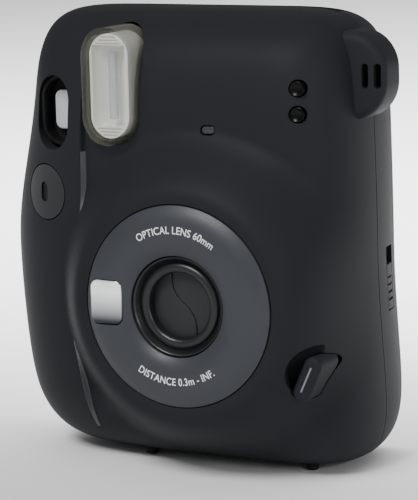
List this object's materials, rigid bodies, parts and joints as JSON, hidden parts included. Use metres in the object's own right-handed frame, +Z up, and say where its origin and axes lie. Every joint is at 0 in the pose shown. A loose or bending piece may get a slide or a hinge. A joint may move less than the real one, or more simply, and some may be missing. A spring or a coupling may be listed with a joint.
{
  "type": "instant camera",
  "caption": "Instant camera with a rounded body and hand grip, a lens that slides out, a two-leaf lens cover, flash, viewfinder, film door and motor-driven rollers",
  "frame": {"origin": "centre of the overall box in X and Y, at the level that the four feet stand on", "axes": "+X to the viewer's right seen from the front, the lens faces -Y, +Z up"},
  "size_m": [0.1128, 0.0672, 0.1218],
  "materials": {
    "body_plastic": "fine even grain, charcoal, slightly blue",
    "shutter_key_plastic": "charcoal, a little smoother than the body",
    "light_pipe": "dark smoked insert",
    "ring_plastic": "charcoal satin",
    "cover_plastic": "dark satin",
    "black_plastic": "matte black",
    "sensor_black": "gloss black",
    "status_lens": "smoked grey",
    "clear_plastic": "clear",
    "flash_clear": "clear with a faint olive tint",
    "tube_glass": "clear glass",
    "reflector": "bright, ribbed at both ends",
    "lens_glass": "coated glass",
    "selfie_mirror": "silvered",
    "steel": "bare steel",
    "contact_metal": "nickel plated",
    "cell_jacket": "printed jacket",
    "brass": "turned brass",
    "nylon": "natural nylon",
    "disc_white": "white",
    "capacitor_sleeve": "shrink sleeve",
    "board_green": "solder mask",
    "foot_rubber": "matte black"
  },
  "bodies": {
    "root": {"front_shell": "body_plastic", "rear_shell": "body_plastic", "door_hinge_pin": "steel", "finder_tube": "black_plastic", "finder_front_lens": "clear_plastic", "eyepiece_frame": "black_plastic", "eyepiece_lens": "clear_plastic", "counter_window": "clear_plastic", "flash_window": "flash_clear", "flash_reflector": "reflector", "flash_tube": "tube_glass", "flash_capacitor": "capacitor_sleeve", "shutter_spring": "steel", "power_spring": "steel", "lens_ring": "ring_plastic", "selfie_mirror": "selfie_mirror", "barrel_guide": "black_plastic", "light_box": "black_plastic", "film_chamber": "black_plastic", "upper_sensor_window": "sensor_black", "lower_sensor_window": "sensor_black", "status_window": "status_lens", "main_board": "board_green", "motor": "steel", "roller_frame": "steel", "battery_case": "black_plastic", "front_battery": "cell_jacket", "rear_battery": "cell_jacket", "lower_contact": "contact_metal", "upper_contact": "contact_metal", "strap_post": "steel", "front_left_foot": "foot_rubber", "front_right_foot": "foot_rubber", "rear_left_foot": "foot_rubber", "rear_right_foot": "foot_rubber"},
    "film_door": {"back_door": "body_plastic", "pack_window": "clear_plastic", "pressure_spring": "steel"},
    "latch_slider": {"door_latch": "body_plastic"},
    "cell_door": {"battery_door": "body_plastic"},
    "shutter_key": {"shutter_button": "shutter_key_plastic", "button_light_pipe": "light_pipe"},
    "power_key": {"power_button": "body_plastic"},
    "barrel": {"lens_barrel": "black_plastic", "rear_element": "lens_glass", "shutter_plate": "black_plastic"},
    "lens_head": {"lens_front": "ring_plastic", "front_element": "lens_glass"},
    "left_cover": {"left_cover_blade": "cover_plastic"},
    "right_cover": {"right_cover_blade": "cover_plastic"},
    "shutter_leaf": {"shutter_blade": "black_plastic"},
    "front_roller_set": {"front_roller": "steel", "front_roller_gear": "nylon"},
    "rear_roller_set": {"rear_roller": "steel", "rear_roller_gear": "nylon"},
    "idler": {"idler_gear": "nylon"},
    "reduction": {"reduction_gear": "nylon"},
    "pinion": {"motor_pinion": "brass"},
    "claw_slide": {"film_claw": "steel"},
    "counter": {"counter_disc": "disc_white"}
  },
  "joints": [
    {"name": "lens_extend", "type": "slide", "parent": "root", "child": "barrel", "axis": [0, -1, 0], "range_m": [0, 0.014]},
    {"name": "selfie_extend", "type": "slide", "parent": "barrel", "child": "lens_head", "axis": [0, -1, 0], "range_m": [0, 0.005]},
    {"name": "left_cover_open", "type": "hinge", "parent": "lens_head", "child": "left_cover", "pos_m": [0.00356, -0.02725, 0.05504], "axis": [0, 1, 0], "range_deg": [0, 12.5]},
    {"name": "right_cover_open", "type": "hinge", "parent": "lens_head", "child": "right_cover", "pos_m": [0.01784, -0.02725, 0.04076], "axis": [0, 1, 0], "range_deg": [0, 12.5]},
    {"name": "shutter_swing", "type": "hinge", "parent": "barrel", "child": "shutter_leaf", "pos_m": [0.0032, -0.01295, 0.0509], "axis": [0, 1, 0], "range_deg": [0, 55]},
    {"name": "shutter_press", "type": "slide", "parent": "root", "child": "shutter_key", "axis": [0, 1, 0], "range_m": [0, 0.0015], "stiffness_N_per_m": 600, "springref_m": -0.001, "deforming": ["shutter_spring"]},
    {"name": "power_press", "type": "slide", "parent": "root", "child": "power_key", "axis": [0, 1, 0], "range_m": [0, 0.0012], "stiffness_N_per_m": 600, "springref_m": -0.001, "deforming": ["power_spring"]},
    {"name": "back_door_hinge", "type": "hinge", "parent": "root", "child": "film_door", "pos_m": [-0.0257, 0.0312, 0.0604], "axis": [0, 0, 1], "range_deg": [0, 90]},
    {"name": "door_latch_slide", "type": "slide", "parent": "root", "child": "latch_slider", "axis": [0, 0, 1], "range_m": [0, 0.0045], "stiffness_N_per_m": 150, "springref_m": -0.002},
    {"name": "battery_door_slide", "type": "slide", "parent": "root", "child": "cell_door", "axis": [-1, 0, 0], "range_m": [0, 0.03]},
    {"name": "front_roller_spin", "type": "hinge", "parent": "root", "child": "front_roller_set", "pos_m": [0.0107, 0.0067, 0.1082], "axis": [1, 0, 0], "continuous": true},
    {"name": "rear_roller_spin", "type": "hinge", "parent": "root", "child": "rear_roller_set", "pos_m": [0.0107, 0.0137, 0.1082], "axis": [1, 0, 0], "continuous": true},
    {"name": "idler_spin", "type": "hinge", "parent": "root", "child": "idler", "pos_m": [0.0416, 0.00019, 0.10355], "axis": [1, 0, 0], "continuous": true},
    {"name": "reduction_spin", "type": "hinge", "parent": "root", "child": "reduction", "pos_m": [0.0416, -0.0029, 0.09617], "axis": [1, 0, 0], "continuous": true},
    {"name": "pinion_spin", "type": "hinge", "parent": "root", "child": "pinion", "pos_m": [0.0371, -0.0048, 0.1065], "axis": [1, 0, 0], "continuous": true},
    {"name": "film_claw_slide", "type": "slide", "parent": "root", "child": "claw_slide", "axis": [0, 0, 1], "range_m": [0, 0.009], "stiffness_N_per_m": 60, "springref_m": -0.002},
    {"name": "counter_turn", "type": "hinge", "parent": "root", "child": "counter", "pos_m": [-0.0365, 0.0288, 0.079], "axis": [0, 1, 0], "range_deg": [0, 320]}
  ],
  "couplings": [
    {"joint": "left_cover_open", "follows": "lens_extend", "rad_per_m": 15.5},
    {"joint": "right_cover_open", "follows": "lens_extend", "rad_per_m": 15.5},
    {"joint": "rear_roller_spin", "follows": "front_roller_spin", "ratio": -1},
    {"joint": "idler_spin", "follows": "front_roller_spin", "ratio": -0.77778},
    {"joint": "reduction_spin", "follows": "front_roller_spin", "ratio": 1},
    {"joint": "pinion_spin", "follows": "front_roller_spin", "ratio": -2}
  ]
}
